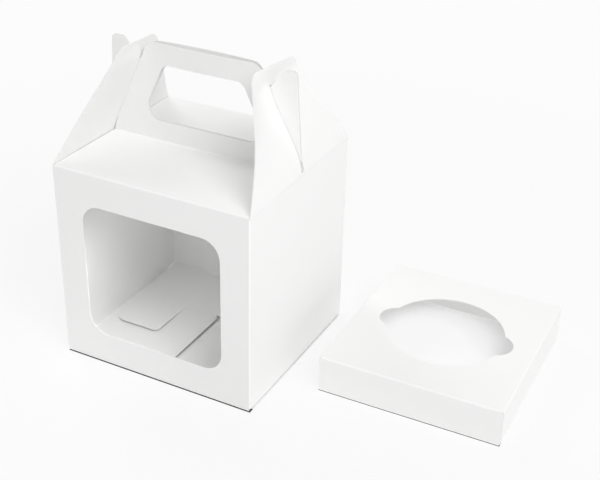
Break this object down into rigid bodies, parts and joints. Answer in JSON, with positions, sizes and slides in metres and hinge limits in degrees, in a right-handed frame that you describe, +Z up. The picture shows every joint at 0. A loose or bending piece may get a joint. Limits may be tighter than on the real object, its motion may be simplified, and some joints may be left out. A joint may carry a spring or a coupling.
{
  "type": "cupcake box",
  "caption": "Folded white card box for a cupcake, with a window, carrying handle, hooked side flaps that open, locked bottom and a loose cupcake insert.",
  "frame": {"origin": "middle of the carton's underside, on the surface it stands on", "axes": "+X to the right along the windowed front wall, +Y from the front wall to the back, +Z up"},
  "size_m": [0.2056, 0.1265, 0.1471],
  "materials": {
    "white_card": "smooth matt white coated card, 0.45 mm",
    "insert_card": "smooth matt white coated card, 0.45 mm"
  },
  "bodies": {
    "box": {"carton": "white_card", "hook_front_left": "white_card", "hook_front_right": "white_card", "hook_rear_left": "white_card", "hook_rear_right": "white_card", "insert": "insert_card"},
    "left_flap": {"side_flap_left": "white_card"},
    "right_flap": {"side_flap_right": "white_card"}
  },
  "joints": [
    {"name": "left_flap_fold", "type": "hinge", "parent": "box", "child": "left_flap", "pos_m": [-0.04977, 0, 0.09778], "axis": [0, -1, 0], "range_deg": [0, 130], "deforming": ["hook_front_left", "hook_rear_left"]},
    {"name": "right_flap_fold", "type": "hinge", "parent": "box", "child": "right_flap", "pos_m": [0.04977, 0, 0.09778], "axis": [0, 1, 0], "range_deg": [0, 130], "deforming": ["hook_front_right", "hook_rear_right"]}
  ]
}
